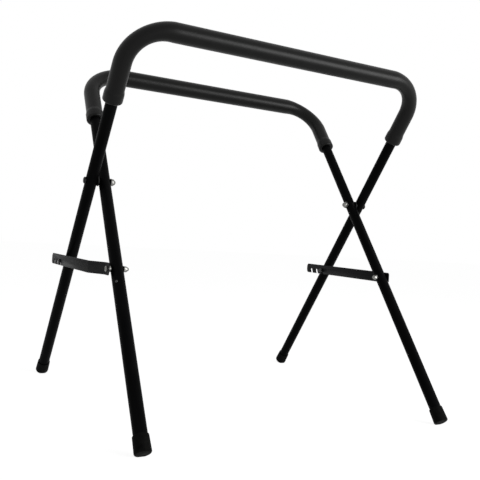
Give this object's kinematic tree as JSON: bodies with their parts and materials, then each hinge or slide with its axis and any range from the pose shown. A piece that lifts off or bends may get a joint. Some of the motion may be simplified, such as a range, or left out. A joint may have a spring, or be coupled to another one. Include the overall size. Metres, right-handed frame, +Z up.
{
  "type": "folding drum stand",
  "caption": "Folding stand of crossed U tube frames with padded top bars, rubber feet, pivot bolts and notched locking straps",
  "frame": {"origin": "on the floor under the middle of the open stand", "axes": "+Z up, X along the padded bars, the outer frame's bar at -Y"},
  "size_m": [0.7494, 0.7524, 0.7742],
  "materials": {
    "outer_frame_tube": "satin black powder coat",
    "inner_frame_tube": "satin black powder coat",
    "outer_bar_foam": "satin black closed cell foam",
    "inner_bar_foam": "satin black closed cell foam",
    "outer_foot_left": "matte black rubber",
    "outer_foot_right": "matte black rubber",
    "inner_foot_left": "matte black rubber",
    "inner_foot_right": "matte black rubber",
    "pivot_bolt_left": "black oxide steel",
    "pivot_bolt_right": "black oxide steel",
    "pivot_spacer_left": "white nylon",
    "pivot_spacer_right": "white nylon",
    "pivot_washer_left": "bright zinc plating",
    "pivot_washer_right": "bright zinc plating",
    "pivot_nut_left": "bright zinc plating",
    "pivot_nut_right": "bright zinc plating",
    "strap_left": "dark grey satin steel",
    "strap_right": "dark grey satin steel",
    "strap_bolt_left": "bright zinc plating",
    "strap_bolt_right": "bright zinc plating",
    "strap_washer_left": "bright zinc plating",
    "strap_washer_right": "bright zinc plating",
    "strap_nut_left": "bright zinc plating",
    "strap_nut_right": "bright zinc plating",
    "strap_spacer_left": "bright zinc plating",
    "hook_stud_left": "black oxide steel",
    "hook_stud_right": "black oxide steel",
    "hook_sleeve_left": "black oxide steel",
    "hook_nut_left": "bright zinc plating",
    "hook_nut_right": "bright zinc plating",
    "leg_rivet": "bright zinc plating"
  },
  "bodies": {
    "outer_frame": {"outer_frame_tube": "outer_frame_tube", "outer_bar_foam": "outer_bar_foam", "outer_foot_left": "outer_foot_left", "outer_foot_right": "outer_foot_right", "pivot_bolt_left": "pivot_bolt_left", "pivot_bolt_right": "pivot_bolt_right", "pivot_spacer_left": "pivot_spacer_left", "pivot_spacer_right": "pivot_spacer_right", "pivot_washer_left": "pivot_washer_left", "pivot_washer_right": "pivot_washer_right", "pivot_nut_left": "pivot_nut_left", "pivot_nut_right": "pivot_nut_right", "hook_stud_left": "hook_stud_left", "hook_stud_right": "hook_stud_right", "hook_sleeve_left": "hook_sleeve_left", "hook_nut_left": "hook_nut_left", "hook_nut_right": "hook_nut_right"},
    "inner_frame": {"inner_frame_tube": "inner_frame_tube", "inner_bar_foam": "inner_bar_foam", "inner_foot_left": "inner_foot_left", "inner_foot_right": "inner_foot_right", "strap_bolt_left": "strap_bolt_left", "strap_bolt_right": "strap_bolt_right", "strap_washer_left": "strap_washer_left", "strap_washer_right": "strap_washer_right", "strap_nut_left": "strap_nut_left", "strap_nut_right": "strap_nut_right", "strap_spacer_left": "strap_spacer_left", "leg_rivet": "leg_rivet"},
    "left_strap": {"strap_left": "strap_left"},
    "right_strap": {"strap_right": "strap_right"}
  },
  "joints": [
    {"name": "fold", "type": "hinge", "parent": "outer_frame", "child": "inner_frame", "pos_m": [0.00325, 0, 0.47143], "axis": [1, 0, 0], "range_deg": [0, 66]},
    {"name": "left_strap_lift", "type": "hinge", "parent": "inner_frame", "child": "left_strap", "pos_m": [-0.33855, -0.14007, 0.29343], "axis": [1, 0, 0], "range_deg": [0, 44]},
    {"name": "right_strap_lift", "type": "hinge", "parent": "inner_frame", "child": "right_strap", "pos_m": [0.34025, -0.14007, 0.29343], "axis": [1, 0, 0], "range_deg": [0, 44]}
  ],
  "couplings": [
    {"joint": "left_strap_lift", "follows": "fold", "ratio": 0.66},
    {"joint": "right_strap_lift", "follows": "fold", "ratio": 0.66}
  ]
}
